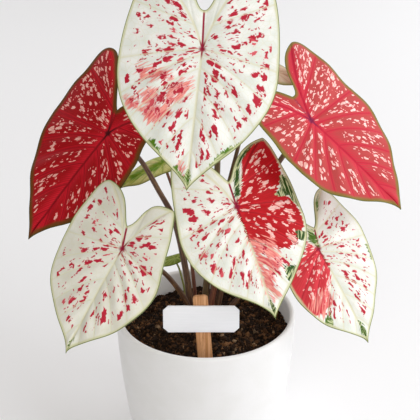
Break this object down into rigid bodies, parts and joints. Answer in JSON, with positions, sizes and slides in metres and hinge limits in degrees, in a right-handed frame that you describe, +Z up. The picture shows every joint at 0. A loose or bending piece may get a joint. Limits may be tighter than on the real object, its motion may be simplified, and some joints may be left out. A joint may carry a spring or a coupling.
{
  "type": "potted caladium",
  "caption": "Potted caladium: heart-shaped speckled white and red leaves on slim stalks, in a plain round ceramic pot with soil, a wooden stake and a bare label.",
  "frame": {"origin": "middle of the pot's flat base, on the surface that it stands on", "axes": "+Z up along the pot's axis; -Y is the front, towards which the leaves face; +X is to the right seen from the front"},
  "size_m": [0.2795, 0.1849, 0.3969],
  "materials": {
    "pot_ceramic": "satin",
    "potting_soil": "matte",
    "tuber_skin": "matte",
    "stake_wood": "matte",
    "label_card": "matte",
    "leaf_white": "satin",
    "leaf_red": "satin",
    "leaf_white_and_red": "satin",
    "leaf_olive": "satin",
    "leaf_tan": "satin",
    "leaf_green": "satin",
    "stalk_brown": "satin",
    "stalk_green": "satin"
  },
  "bodies": {
    "root": {"pot": "pot_ceramic", "soil": "potting_soil", "tuber": "tuber_skin", "stake": "stake_wood", "label": "label_card", "blade_front_white": "leaf_white", "blade_left_red": "leaf_red", "blade_right_red": "leaf_red", "blade_low_left_white": "leaf_white", "blade_centre_white_and_red": "leaf_white_and_red", "blade_low_right_white_and_red": "leaf_white_and_red", "blade_back_left_olive": "leaf_olive", "blade_back_right_tan": "leaf_tan", "blade_small_green": "leaf_green", "stalk_front_white": "stalk_brown", "stalk_left_red": "stalk_brown", "stalk_right_red": "stalk_brown", "stalk_low_left_white": "stalk_brown", "stalk_centre_white_and_red": "stalk_brown", "stalk_low_right_white_and_red": "stalk_brown", "stalk_back_left_olive": "stalk_brown", "stalk_back_right_tan": "stalk_brown", "stalk_small_green": "stalk_green"}
  },
  "joints": []
}
